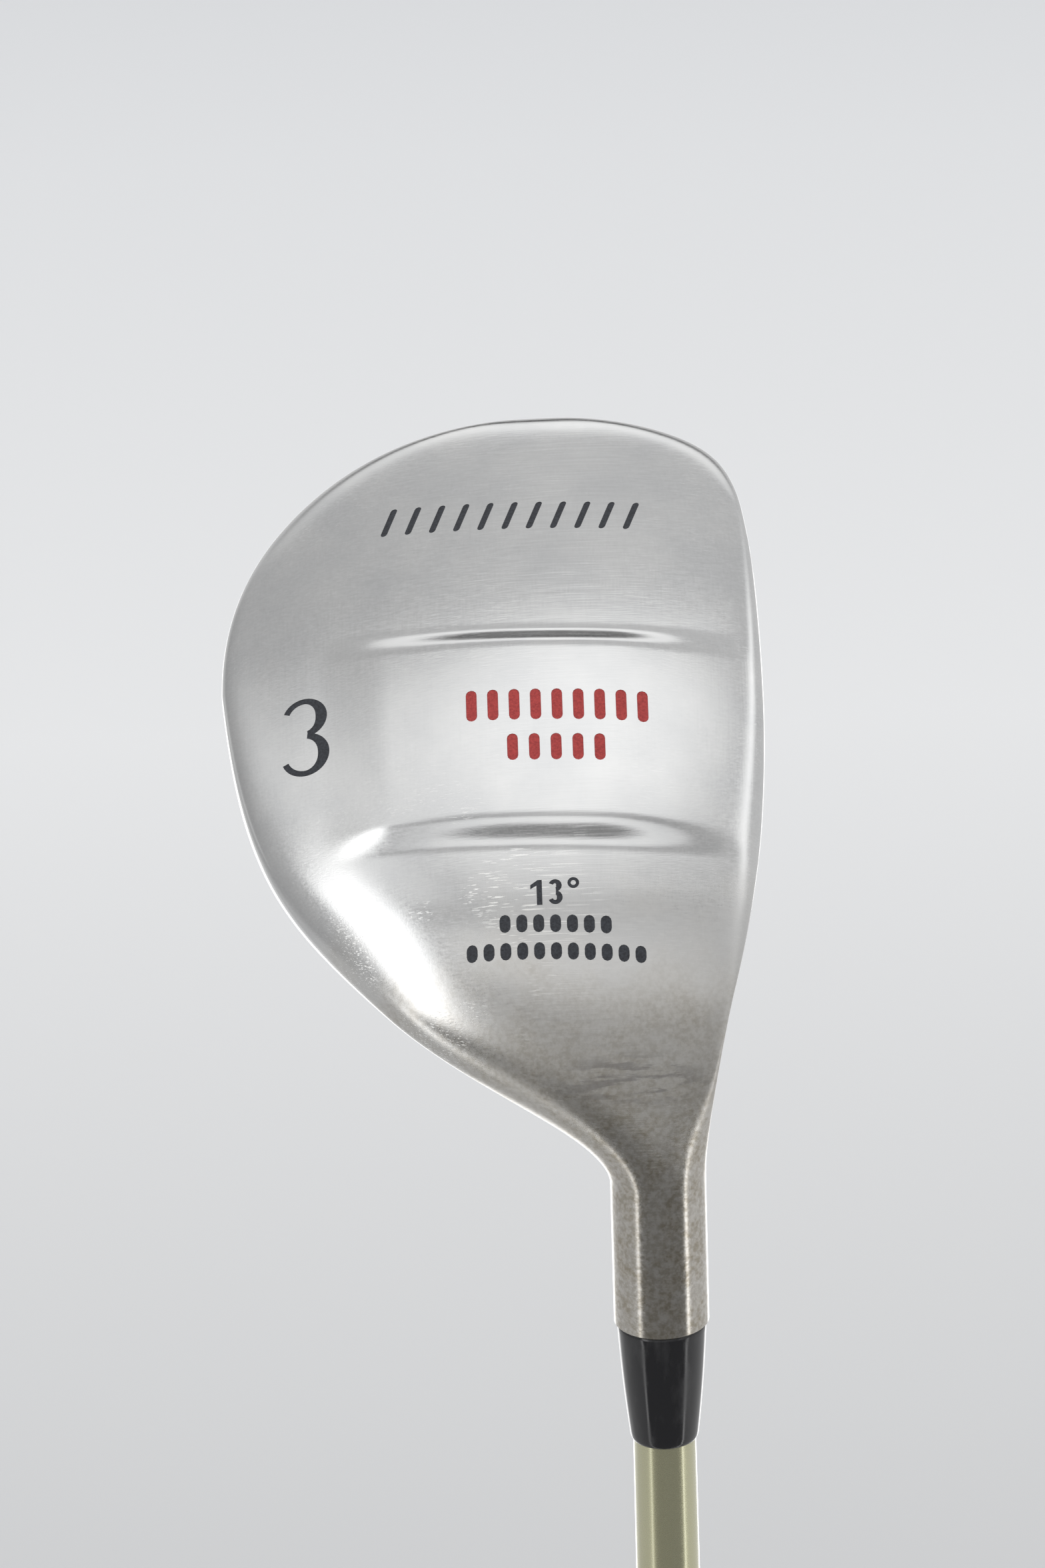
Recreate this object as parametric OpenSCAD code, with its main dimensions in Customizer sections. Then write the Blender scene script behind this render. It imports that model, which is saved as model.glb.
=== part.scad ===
// Fairway wood: a right-handed, steel-headed golf club.
// The shaft axis is +Z with the butt of the grip at the origin and the head at the top.
// +X is the way the face looks. The sole faces -Y and up.
// Inside the head, points are [x, t, d]: x towards the target, t from the shaft axis
// towards the toe, d down into the ground. The head's own origin is where the shaft
// axis meets the ground.

/* [Club] */
// Length from the butt of the grip to where the shaft axis meets the ground
club_length = 1092; // [1060:1:1110]
// Angle between the shaft and the ground
lie = 55.5; // [54:0.5:57]
// Angle that the face leans back
loft = 13; // [11:1:17]

/* [Head outline] */
// Distance of the toe from the shaft axis, at the ground
toe_t = 90.3; // [88:0.1:93]
// Place along the head where the outline is widest
mid_t = 46; // [42:1:50]
// Place of the toe's tip, towards the target
tip_x = -13.2; // [-15:0.1:-11]
// Place of the middle of the leading edge
face_x = 17.1; // [15:0.1:19]
// Place along the head of the most forward point of the leading edge
bulge_t = 40; // [36:1:44]
// Radius of the leading edge on the toe side of that point
bulge_toe_r = 440; // [350:10:600]
// Radius of the leading edge on the heel side of that point
bulge_heel_r = 200; // [180:5:240]
// Place of the rearmost point
rear_x_max = -58.5; // [-60:0.1:-56]
// Half-width of the toe's round in front, before it meets the leading edge
front_width = 42.4; // [38:0.2:46]
// Squareness of that round
front_power = 2.3; // [2:0.1:2.6]
// Sharpness of the corner where it meets the leading edge
corner = 8.7; // [5:0.1:12]
// Squareness of the outline behind the toe
rear_power = 2.17; // [2:0.01:2.4]
// Slope of the straight run from the back of the head to the neck
heel_slope = 1.34; // [1.3:0.01:1.38]
// Distance from the widest place to where that run starts
heel_start = 36; // [34:1:38]
// Softness of the start of that run
heel_round = 20; // [15:1:25]

/* [Head section] */
// Height of the crown above the ground
crown_h = 35.5; // [33:0.5:38]
// Fall of the crown from the face to the back
crown_fall = 9; // [6:0.5:11]
// Fall of the crown towards toe and heel, per square millimetre
crown_arc = 0.0038; // [0.003:0.0002:0.0042]
// Radius of the sole from heel to toe
camber_t = 190; // [160:5:240]
// Radius of the sole from front to back
camber_x = 150; // [130:5:200]
// Extra rise of the sole at the heel, per square millimetre
heel_rise = 0.013; // [0.008:0.001:0.016]
// Height of the widest line at the back
wide_rear = 12; // [10:0.5:14]
// Height of the leading edge's foremost line
wide_front = 6; // [5:0.5:8]
// Height of the toe's tip
wide_tip = 12.5; // [10:0.5:14]

/* [Walls] */
// Thickness of the face
face_wall = 2.6; // [2.4:0.1:3.2]
// Thickness of the skirt
skirt_wall = 1.4; // [1.2:0.1:1.8]
// Thickness of the crown
crown_wall = 0.8; // [0.8:0.1:1.4]
// Thickness of the toe
toe_wall = 1.2; // [1:0.1:1.8]
// Clearance between the foam and the walls
foam_gap = 0.4; // [0.2:0.1:1]

/* [Hosel] */
// Outside diameter of the hosel
hosel_d = 13.2; // [12.8:0.1:13.6]
// Distance from the ground to the end of the hosel, along the shaft
hosel_reach = 60; // [56:1:64]
// Diameter of the hosel's bore
bore_d = 8.8; // [8.7:0.05:9]
// Depth of the hosel's bore
bore_depth = 34; // [30:1:36]

/* [Sole plate] */
// Thickness of the sole plate
plate_thick = 1.5; // [1.4:0.1:2.2]
// Share of the sole's width that the plate covers
plate_reach = 0.86; // [0.8:0.01:0.88]
// Height of the raised pad between the two rails
pad_rise = 1.8; // [1:0.1:2]
// Width of each rail
rail_width = 4.5; // [3.5:0.1:6]
// Place of the rail on the toe side
rail_toe_t = 47.4; // [45:0.1:50]
// Place of the rail on the heel side
rail_heel_t = 15.9; // [14:0.1:18]
// Depth of the engraved marks
mark_depth = 0.35; // [0.2:0.05:0.5]

/* [Shaft and grip] */
// Diameter of the painted shaft where it leaves the ferrule
shaft_d = 8.75; // [8.7:0.05:9]
// Diameter of the bare tip that is glued into the head
tip_d = 8.5; // [8.4:0.05:8.6]
// Diameter of the shaft's butt
butt_d = 15.24; // [14.8:0.02:15.6]
// Height where the shaft stops widening
butt_z = 150; // [120:5:180]
// Length of the ferrule
ferrule_len = 18; // [15:1:22]
// Length of the grip with its cap
grip_len = 267; // [250:1:280]
// Diameter of the grip at the cap
grip_butt_d = 26.4; // [25.5:0.1:27]
// Diameter of the grip's mouth
grip_mouth_d = 17.2; // [17:0.1:18]
// Diameter of the vent hole in the cap
vent_d = 4; // [3:0.5:5]

/* [Hidden] */

// heights along the shaft
hosel_z = club_length - hosel_reach;
tip_z = hosel_z + bore_depth - 2;
ferrule_z = hosel_z - ferrule_len;
butt_start_z = 6;
cap_z = 5;
tape_thick = 0.25;

// Inside of the shaft: radius at the butt, [radius, height] on the way, and the narrow bore at the tip
butt_bore_r = 6.6;
bore_stations = [[5.5, 420], [3.6, 800]];
tip_bore_r = 1.85;
tip_bore_len = 60;

// Pin of the tip weight, its length in the shaft and the flange above it
pin_d = 3.6;
pin_len = 18;
flange_thick = 1.9;
flange_gap = 0.3;

// Thickness of the ledge that carries the sole plate, and depth of the paint below the surface
ledge = 1.2;
paint_gap = 0.06;

// Step from the cast neck down to the turned hosel
neck_step = 0.14;

// Point that the neck's sections turn about, [t, height], and its distance from the shaft axis
pivot = [-4, 44];
pivot_out = pivot[0] * sin(lie) + pivot[1] * cos(lie);
pivot_up = -pivot[0] * cos(lie) + pivot[1] * sin(lie);

// Lowest point of the sole, and the line along which the crown is highest
low_t = 36;
low_x = -8;
heel_t = 8;
ridge_x = 2;
ridge_t = 34;

// Roundness of the section's four corners, as superellipse powers, and of the neck, into
// which they blend over a stretch of the heel
lead_power = 5;
trail_heel = 3.4;
trail_toe = 6;
trail_t = 5;
trail_run = 45;
face_power = 5;
crown_power = 2.3;
neck_power = 2.15;
neck_blend = 42;
// Roundness of the toe seen from the front, above and below the widest line
crown_close = 2.6;
sole_close = 9;

// How far the rails turn away from square, and the place that they turn about
rail_skew = 0.05;
rail_mid_x = -13;

// Rear end of the pad: its place, the share of the rise in the short step there, the lengths
// of that step and of the long slope, and the length over which the pad runs out in front
pad_rear_x = -45;
pad_step = 0.4;
pad_step_run = 10;
pad_slope_run = 27;
pad_front_run = 23;

// Middle of the sole plate and its reach towards toe and heel
plate_mid_t = 40.3;
plate_half = 44.3;

// Share of the neck that the hollow of the head runs into, and the wall of the neck
cavity_neck = 0.25;
neck_wall = 1.5;

// Divisions of the freeform surfaces
quarter_steps = 12;
toe_steps = 20;
body_steps = 10;
neck_steps = 10;
cavity_steps = 11;
ring_steps = 4 * quarter_steps;
plate_grid_size = [46, 20];
mark_grid_size = [21, 12];

$fn = 64;

// ---------------------------------------------------------------- shape functions

function smooth01(q) = let(c = max(0, min(1, q))) c * c * (3 - 2 * c);
function lerp(a, b, q) = a + (b - a) * q;
function spow(c, p) = sign(c) * pow(abs(c), p);
// Cubic from p0, where its slope is m0, to p1, where it is level
function flow(p0, m0, p1, q) = p0 * (2 * q * q * q - 3 * q * q + 1) + m0 * (q * q * q - 2 * q * q + q)
    + p1 * (3 * q * q - 2 * q * q * q);

// Leading edge and rear edge of the outline at station t
function toe_share(t) = max(0, min(1, (t - mid_t) / (toe_t - mid_t)));
function toe_close(t, p) = pow(max(0, 1 - pow(toe_share(t), p)), 1 / p);
function face_run(t) = face_x - tip_x
    - pow(t - bulge_t, 2) / (2 * (t < bulge_t ? bulge_heel_r : bulge_toe_r));
function front_x(t) = tip_x + pow(
    pow(face_run(t), -corner) + pow(front_width * toe_close(t, front_power), -corner), -1 / corner);
function heel_run(h) = let(a = h - heel_start)
    heel_slope / 2 * (a + sqrt(a * a + heel_round * heel_round));
function rear_x(t) = tip_x + (rear_x_max - tip_x) * toe_close(t, rear_power)
    + heel_run(max(0, mid_t - t)) - heel_run(0);

// Height of the sole, of the crown and of the widest line
function sole_h(t, x) = pow(t - low_t, 2) / (2 * camber_t) + pow(x - low_x, 2) / (2 * camber_x)
    + heel_rise * pow(max(0, heel_t - t), 2);
function crown_top(t, x) = let(e = max(0, (x - ridge_x) / (rear_x(t) - ridge_x)))
    crown_h - crown_arc * pow(t - ridge_t, 2) - crown_fall * e * e;
function wide_h(t, xi, xm) = lerp(
    lerp(wide_rear, wide_front, smooth01((xi + 1) / 2)) + 0.6 * sole_h(t, xm),
    wide_tip, smooth01((toe_share(t) - 0.6) / 0.4));

function corner_power(t, top, fore) = lerp(
    neck_power,
    top ? (fore ? face_power : crown_power)
        : (fore ? lead_power : lerp(trail_heel, trail_toe, smooth01((t - trail_t) / trail_run))),
    smooth01((t - pivot[0]) / neck_blend));

// Point of the section at station t, with xi from -1 at the back to 1 in front.
// wall = [front, rear, top, bottom] is how far inside the outer surface it lies.
function section_point(t, xi, top, wall) = let(
    xf = front_x(t) - wall[0],
    xr = rear_x(t) + wall[1],
    xm = (xf + xr) / 2,
    x = xm + max(0, (xf - xr) / 2) * xi,
    p = corner_power(t, top, xi > 0),
    swell = pow(max(0, 1 - pow(abs(xi), p)), 1 / p) * toe_close(t, top ? crown_close : sole_close),
    wide = wide_h(t, xi, xm),
    side = top ? crown_top(t, x) - wall[2] : sole_h(t, x) + wall[3],
    h = wide + (side - wide) * swell,
    lean = tan(loft) * max(h - wide_front, 0) * smooth01((xi + 0.2) / 1.2)
) [x - lean, t, -h];

// The same, by the angle a round the section; the outer surface, with no wall, carries the pad
function body_point(t, a, wall) = let(
    top = sin(a) > 0,
    p = section_point(t, spow(cos(a), 2 / corner_power(t, top, cos(a) > 0)), top, wall)
) p + [0, 0, top || wall[3] > 0 ? 0 : pad(t, p[0])];

// Angles round a section, closer together in the middle of the sole and the crown
function section_angle(j) = let(
    quarter = floor(j / quarter_steps),
    q = (j - quarter * quarter_steps) / quarter_steps
) quarter == 0 ? 90 - 90 * pow(1 - q, 1.6)
    : quarter == 1 ? 90 + 90 * pow(q, 1.6)
    : quarter == 2 ? 270 - 90 * pow(1 - q, 1.6)
    : 270 + 90 * pow(q, 1.6);

function body_ring(t, wall) = [for (j = [0 : ring_steps - 1]) body_point(t, section_angle(j), wall)];
function toe_station(q) = lerp(mid_t, toe_t, 1 - pow(1 - q, 2.4));

// Ring of the neck, q = 0 at the body and 1 at the hosel, where its radius is r
function neck_ring(q, wall, r) = [for (j = [0 : ring_steps - 1]) let(
    a = section_angle(j),
    step = 0.01,
    b = body_point(pivot[0], a, wall),
    slope = (body_point(pivot[0] + step, a, wall) - b) / step,
    w0 = pivot[1] + b[2],
    arc = w0 * lie * PI / 180,
    x = flow(b[0], -slope[0] * arc, r * cos(a), q),
    w = flow(w0, -slope[2] * arc, pivot_out - r * sin(a), q)
) [x, pivot[0] - w * sin(lie * q), w * cos(lie * q) - pivot[1]]];

// Closed solid from a list of rings with the same number of points
module ring_solid(rings) {
    n = len(rings[0]);
    last = (len(rings) - 1) * n;
    points = [for (ring = rings) for (p = ring) p];
    sides = [for (i = [0 : len(rings) - 2]) for (j = [0 : n - 1]) let(
        a = i * n + j,
        b = i * n + (j + 1) % n
    ) each [[a, b, a + n], [b, b + n, a + n]]];
    first_cap = [for (j = [n - 1 : -1 : 0]) j];
    last_cap = [for (j = [0 : n - 1]) last + j];
    polyhedron(points, concat(sides, [first_cap, last_cap]), convexity = 6);
}

// Moves a shape drawn in the head's frame to its place on the club
module on_head() {
    translate([0, 0, club_length]) rotate([90 - lie, 0, 0]) children();
}

// Keeps a freeform shape as a single mesh, before exact bores are cut in it
module one_mesh() {
    resize([0, 0, 0]) children();
}

// ---------------------------------------------------------------- sole plate surface

// Rise of the pad between the rails, which runs out behind and into the leading edge
function pad(t, x) = let(
    s = t + rail_skew * (x - rail_mid_x),
    step = pad_step * smooth01((x - pad_rear_x) / pad_step_run),
    slope = (1 - pad_step) * smooth01((x - pad_rear_x) / pad_slope_run)
) pad_rise * (step + slope)
    * smooth01((rail_toe_t + rail_width / 2 - s) / rail_width)
    * smooth01((s - rail_heel_t + rail_width / 2) / rail_width)
    * smooth01((front_x(t) - x) / pad_front_run);

// Point of the plate: row r and column c run from -1 to 1, depth is into the metal
function plate_point(r, c, reach, depth, flat) = let(
    t = plate_mid_t + plate_half * reach / plate_reach * r,
    q = section_point(t, reach * pow(1 - pow(r, 4), 0.25) * c, false, [0, 0, 0, 0])
) [q[0], t, q[2] + (flat ? 0 : pad(t, q[0])) - depth];

function plate_grid(reach, depth, flat, size) = [
    for (i = [0 : size[0]]) for (j = [0 : size[1]])
        plate_point(sin(88.5 * (2 * i / size[0] - 1)), 2 * j / size[1] - 1, reach, depth, flat)];

// Slab of the sole between two depths below its surface, on a grid of size = [rows, columns]
module sole_layer(reach, outer, inner, flat_outer, flat_inner, size) {
    rows = size[0];
    cols = size[1];
    n = cols + 1;
    count = n * (rows + 1);
    outer_faces = [for (i = [0 : rows - 1]) for (j = [0 : cols - 1]) let(a = i * n + j)
        each [[a, a + n, a + 1], [a + 1, a + n, a + n + 1]]];
    inner_faces = [for (f = outer_faces) [count + f[0], count + f[2], count + f[1]]];
    edge = concat(
        [for (j = [0 : cols - 1]) j],
        [for (i = [0 : rows - 1]) i * n + cols],
        [for (j = [cols : -1 : 1]) rows * n + j],
        [for (i = [rows : -1 : 1]) i * n]);
    walls = [for (k = [0 : len(edge) - 1]) let(a = edge[k], b = edge[(k + 1) % len(edge)])
        each [[a, b, a + count], [b, b + count, a + count]]];
    polyhedron(
        concat(plate_grid(reach, outer, flat_outer, size), plate_grid(reach, inner, flat_inner, size)),
        concat(outer_faces, inner_faces, walls), convexity = 6);
}

// ---------------------------------------------------------------- engraved marks

// Part of a ring: outside radius, width of the stroke, first and last angle
module arc_stroke(r, w, from, to) {
    steps = 20;
    polygon(concat(
        [for (k = [0 : steps]) let(a = lerp(from, to, k / steps)) r * [cos(a), sin(a)]],
        [for (k = [steps : -1 : 0]) let(a = lerp(from, to, k / steps)) (r - w) * [cos(a), sin(a)]]));
}

// Numeral three of height h and stroke w: two open bowls that meet at a short bar
module three(h, w) {
    r = (h + w) / 4;
    translate([0, h / 2 - r]) arc_stroke(r, w, -58, 165);
    translate([0, r - h / 2]) arc_stroke(r, w, -165, 58);
    translate([-0.25 * r, -0.5 * w]) square([0.78 * r, w]);
}

module number_marks() {
    translate([-46.8, 35.4]) three(12.4, 1.2);
}

module loft_marks() {
    translate([-15.1, 7.3]) square([0.8, 3.6], center = true);
    translate([-12.8, 7.3]) three(3.6, 0.72);
    translate([-10.4, 8.6]) arc_stroke(0.75, 0.4, 0, 360);
}

// A row of slanted bars: centre, count, spacing, height, width and slant
module bar_row(at, count, pitch, h, w, slant) {
    for (k = [0 : count - 1]) let(x = (k - (count - 1) / 2) * pitch)
        translate([at[0] + x, at[1] - rail_skew * x])
            multmatrix([[1, slant, 0, 0], [0, 1, 0, 0], [0, 0, 1, 0], [0, 0, 0, 1]])
                square([w, h], center = true);
}

module accent_marks() {
    bar_row([-11.8, 35.1], 9, 2.95, 5, 1.5, 0);
    bar_row([-12.1, 28.3], 5, 3, 4.2, 1.5, 0);
}

module ornament_marks() {
    bar_row([-17.5, 69.8], 11, 3.4, 5, 0.9, 0.35);
    bar_row([-13, 2.9], 7, 2.3, 2.4, 1.5, 0);
    bar_row([-13, -0.7], 11, 2.3, 2.2, 1.5, 0);
}

// Engraved groove or paint in it: the marks' outline through a thin layer of the sole
module mark_layer(outer) {
    intersection() {
        translate([0, 0, -30]) linear_extrude(height = 40) children();
        sole_layer(plate_reach * 0.98, outer, mark_depth, false, false, mark_grid_size);
    }
}

// ---------------------------------------------------------------- sub-parts

// Stainless steel casting: crown, skirt, face and hosel in one hollow shell
module head_body() {
    color([0.70, 0.70, 0.68]) difference() {
        union() {
            on_head() one_mesh() difference() {
                ring_solid(concat(
                    [for (k = [0 : toe_steps]) body_ring(toe_station(0.985 - 0.985 * k / toe_steps),
                        [0, 0, 0, 0])],
                    [for (k = [1 : body_steps]) body_ring(lerp(mid_t, pivot[0], k / body_steps),
                        [0, 0, 0, 0])],
                    [for (k = [1 : neck_steps])
                        neck_ring(k / neck_steps, [0, 0, 0, 0], hosel_d / 2 + neck_step)]));
                cavity([face_wall, skirt_wall, crown_wall, plate_thick + ledge]);
                sole_layer(plate_reach, -4, plate_thick, true, true, plate_grid_size);
                sole_layer(plate_reach * 0.93, 1, plate_thick + ledge + 0.6, true, true, mark_grid_size);
            }
            translate([0, 0, hosel_z]) cylinder(d = hosel_d, h = hosel_reach - pivot_up + 2);
        }
        translate([0, 0, hosel_z - 1]) cylinder(d = bore_d, h = bore_depth + 1);
    }
}

// Ring of the hollow in the toe half, drawn back from the toe's tip
function toe_cavity_ring(t, wall) = [for (p = body_ring(t, wall)) p - [0, toe_wall * toe_share(t), 0]];

// Space inside the head, with the walls given as [front, rear, top, bottom]
module cavity(wall) {
    ring_solid(concat(
        [for (k = [0 : cavity_steps]) toe_cavity_ring(toe_station(0.93 - 0.93 * k / cavity_steps), wall)],
        [for (k = [1 : 5]) body_ring(lerp(mid_t, pivot[0], k / 5), wall)],
        [for (k = [1 : 2]) neck_ring(cavity_neck * k / 2, wall, hosel_d / 2 - neck_wall)]));
}

// Separate stainless plate let into the bottom of the casting, with the pad and its rails
module sole_plate() {
    color([0.76, 0.76, 0.75]) on_head() one_mesh() difference() {
        sole_layer(plate_reach, 0, plate_thick, false, true, plate_grid_size);
        mark_layer(-2) {
            number_marks();
            loft_marks();
            accent_marks();
            ornament_marks();
        }
    }
}

// Foam that fills the hollow head
module foam_core() {
    color([0.85, 0.78, 0.55]) on_head() cavity([
        face_wall + foam_gap,
        skirt_wall + foam_gap,
        crown_wall + foam_gap,
        plate_thick + ledge + foam_gap]);
}

// Charcoal paint in the engraved club number
module number_paint() {
    color([0.12, 0.13, 0.16]) on_head() one_mesh() mark_layer(paint_gap) number_marks();
}

// Charcoal paint in the engraved loft
module loft_paint() {
    color([0.12, 0.13, 0.16]) on_head() one_mesh() mark_layer(paint_gap) loft_marks();
}

// Red paint in the two rows of bars on the pad
module accent_paint() {
    color([0.62, 0.10, 0.10]) on_head() one_mesh() mark_layer(paint_gap) accent_marks();
}

// Dark paint in the ornamental rows of bars
module ornament_paint() {
    color([0.16, 0.16, 0.14]) on_head() one_mesh() mark_layer(paint_gap) ornament_marks();
}

// Cured adhesive between the shaft's tip and the hosel's bore
module hosel_epoxy() {
    color([0.80, 0.70, 0.45]) difference() {
        translate([0, 0, hosel_z]) cylinder(d = bore_d, h = bore_depth - 2);
        translate([0, 0, hosel_z - 1]) cylinder(d = tip_d, h = bore_depth);
    }
}

// Brass pin in the shaft's tip, with a flange that stops against the end of the shaft
module tip_weight() {
    color([0.78, 0.62, 0.30]) union() {
        translate([0, 0, tip_z]) cylinder(d = tip_d - flange_gap, h = flange_thick);
        translate([0, 0, tip_z - pin_len]) cylinder(d = pin_d, h = pin_len + flange_thick / 2);
    }
}

// Black tapered trim ring between the shaft and the hosel
module ferrule() {
    top_r = hosel_d / 2 - 0.4;
    end_r = shaft_d / 2 + 0.32;
    middle_r = lerp(end_r, top_r, 0.53);
    color([0.04, 0.04, 0.05]) translate([0, 0, ferrule_z]) rotate_extrude() polygon([
        [tip_d / 2, 0],
        [end_r - 0.25, 0],
        [end_r, 0.3],
        [middle_r, ferrule_len / 2],
        [top_r, ferrule_len],
        [tip_d / 2, ferrule_len]]);
}

function shaft_r(z) = lerp(shaft_d, butt_d, min(1, (ferrule_z - z) / (ferrule_z - butt_z))) / 2;

// Hollow graphite shaft, painted up to the ferrule and bare where it is glued
module shaft() {
    color([0.66, 0.63, 0.52]) rotate_extrude() polygon([
        [butt_bore_r, butt_start_z],
        [butt_d / 2, butt_start_z],
        [butt_d / 2, butt_z],
        [shaft_d / 2, ferrule_z],
        [tip_d / 2, ferrule_z],
        [tip_d / 2, tip_z],
        [tip_bore_r, tip_z],
        [tip_bore_r, tip_z - tip_bore_len],
        bore_stations[1],
        bore_stations[0]]);
}

// Double-sided tape wrapped round the butt of the shaft
module grip_tape() {
    top_z = grip_len - 4;
    color([0.86, 0.84, 0.76]) rotate_extrude() polygon([
        [butt_d / 2, butt_start_z],
        [butt_d / 2 + tape_thick, butt_start_z],
        [butt_d / 2 + tape_thick, butt_z],
        [shaft_r(top_z) + tape_thick, top_z],
        [shaft_r(top_z), top_z],
        [butt_d / 2, butt_z]]);
}

// Rubber sleeve of the grip, from the cap to its mouth
module grip_sleeve() {
    inner = butt_d / 2 + tape_thick;
    color([0.07, 0.07, 0.07]) rotate_extrude() polygon([
        [inner, cap_z],
        [grip_butt_d / 2 - 0.3, cap_z],
        [grip_butt_d / 2 - 0.7, cap_z + 6],
        [grip_butt_d / 2 - 1.2, cap_z + 22],
        [lerp(grip_mouth_d, grip_butt_d, 0.55) / 2, grip_len * 0.37],
        [lerp(grip_mouth_d, grip_butt_d, 0.2) / 2, grip_len * 0.75],
        [grip_mouth_d / 2, grip_len - 1],
        [grip_mouth_d / 2 - 0.4, grip_len],
        [shaft_r(grip_len) + tape_thick, grip_len],
        [inner, butt_z]]);
}

// End cap of the grip, with a vent hole through it
module grip_cap() {
    edge_r = 1.2;
    color([0.08, 0.08, 0.08]) difference() {
        rotate_extrude() polygon([
            [0, 0],
            [grip_butt_d / 2 - edge_r, 0],
            [grip_butt_d / 2 - 0.35 * edge_r, 0.35 * edge_r],
            [grip_butt_d / 2, edge_r],
            [grip_butt_d / 2, cap_z],
            [0, cap_z]]);
        translate([0, 0, -1]) cylinder(d = vent_d, h = cap_z + 2, $fn = 32);
    }
}

head_body();
sole_plate();
foam_core();
number_paint();
loft_paint();
accent_paint();
ornament_paint();
hosel_epoxy();
tip_weight();
ferrule();
shaft();
grip_tape();
grip_sleeve();
grip_cap();
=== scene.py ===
"""Fairway wood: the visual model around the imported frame.

Everything is in metres in the club's own frame: the shaft is +Z, the butt of the grip is at the
origin and the head is at the top. The head is worked out in millimetres in its own frame, as
(x towards the target, t towards the toe, h above the ground), and then placed on the club.
"""
import math

import bmesh
import bpy
import numpy as np
from mathutils import Matrix, Vector


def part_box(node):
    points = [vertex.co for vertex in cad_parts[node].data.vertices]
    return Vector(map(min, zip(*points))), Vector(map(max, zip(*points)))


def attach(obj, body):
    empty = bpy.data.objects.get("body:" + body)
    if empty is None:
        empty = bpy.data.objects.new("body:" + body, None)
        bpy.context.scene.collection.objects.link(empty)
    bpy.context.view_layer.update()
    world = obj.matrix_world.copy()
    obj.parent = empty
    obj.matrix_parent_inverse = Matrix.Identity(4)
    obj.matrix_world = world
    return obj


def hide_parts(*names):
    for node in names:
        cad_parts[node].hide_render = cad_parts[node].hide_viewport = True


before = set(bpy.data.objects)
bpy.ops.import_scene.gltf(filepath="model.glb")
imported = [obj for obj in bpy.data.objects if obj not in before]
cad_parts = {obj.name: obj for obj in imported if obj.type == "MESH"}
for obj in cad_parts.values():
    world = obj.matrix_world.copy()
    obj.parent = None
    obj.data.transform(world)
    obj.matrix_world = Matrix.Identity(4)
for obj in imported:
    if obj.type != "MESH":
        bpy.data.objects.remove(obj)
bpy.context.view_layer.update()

MM = 0.001

# ------------------------------------------------------------------ places from the frame

HOSEL_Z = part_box("head_body")[0].z
FERRULE_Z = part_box("ferrule")[0].z
GRIP_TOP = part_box("grip_sleeve")[1].z
CAP_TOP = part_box("grip_cap")[1].z
TIP_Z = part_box("shaft")[1].z
BUTT_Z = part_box("shaft")[0].z
HOSEL_REACH = 60.0
GROUND_Z = HOSEL_Z + HOSEL_REACH * MM

# ------------------------------------------------------------------ the head's dimensions, mm

LIE = math.radians(55.5)
HOSEL_R, BORE_R, BORE_DEPTH = 6.6, 4.4, 34.0

# Outline seen from below: tips of the toe and the back, the face line and its bulge, the round of the
# toe in front and behind, and the run of the back into the heel
TOE_T, MID_T = 90.3, 46.0
TIP_X, FACE_X, REAR_X = -13.2, 17.1, -58.5
BULGE_T, BULGE_HEEL_R, BULGE_TOE_R = 40.0, 200.0, 440.0
FRONT_WIDTH, FRONT_POWER, CORNER, REAR_POWER = 42.4, 2.3, 8.7, 2.17
HEEL_SLOPE, HEEL_START, HEEL_ROUND = 1.34, 36.0, 20.0

# Heights: the crown and its fall to the back, the cambered sole and its rise at the heel, the widest
# line between them, and the loft, by which the face leans back
CROWN_H, CROWN_FALL, CROWN_ARC, RIDGE_X, RIDGE_T = 35.5, 9.0, 0.0038, 2.0, 34.0
CAMBER_T, CAMBER_X, LOW_T, LOW_X = 190.0, 150.0, 36.0, -8.0
HEEL_T, HEEL_RISE = 8.0, 0.013
WIDE_REAR, WIDE_FRONT, WIDE_TIP, WIDE_FOLLOW, WIDE_TURN = 12.0, 6.0, 12.5, 0.6, 0.6
LOFT, LEAN_BACK = math.radians(13), 0.2

# The head's last upright section, and the point about which the neck's sections turn
PIVOT_T, PIVOT_H = -4.0, 44.0

# Roundness of the section's corners as superellipse powers; they blend into the neck's power
LEAD_POWER, FACE_POWER, CROWN_POWER = 5.0, 5.0, 2.3
TRAIL_HEEL, TRAIL_TOE, TRAIL_T, TRAIL_RUN = 3.4, 6.0, 5.0, 45.0
NECK_POWER, NECK_BLEND = 2.15, 42.0
CROWN_CLOSE, SOLE_CLOSE = 2.6, 9.0

# Walls in front, behind, above and below the hollow, at the toe, and in the neck
WALLS, NO_WALLS = (2.6, 1.4, 0.8, 2.7), (0, 0, 0, 0)
TOE_WALL, NECK_WALL, CAVITY_NECK = 1.2, 1.5, 0.25

# Score lines of the face as (height, half length), and the middle between their ends
SCORE_LINES = [(9, 18), (13, 21), (17, 22), (21, 21), (25, 18)]
SCORE_MID_T, SCORE_WIDTH, SCORE_DEPTH = 43.0, 0.8, 0.35

# Sole plate: its outline as a share of the sole, the ledge that it lies on, and the area for marks
PLATE_THICK, PLATE_REACH, PLATE_MID_T, PLATE_HALF = 1.5, 0.86, 40.3, 44.3
PLATE_POWER, LEDGE, OPENING_SHARE, MARKS_SHARE = 4, 0.6, 0.93, 0.99

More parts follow.
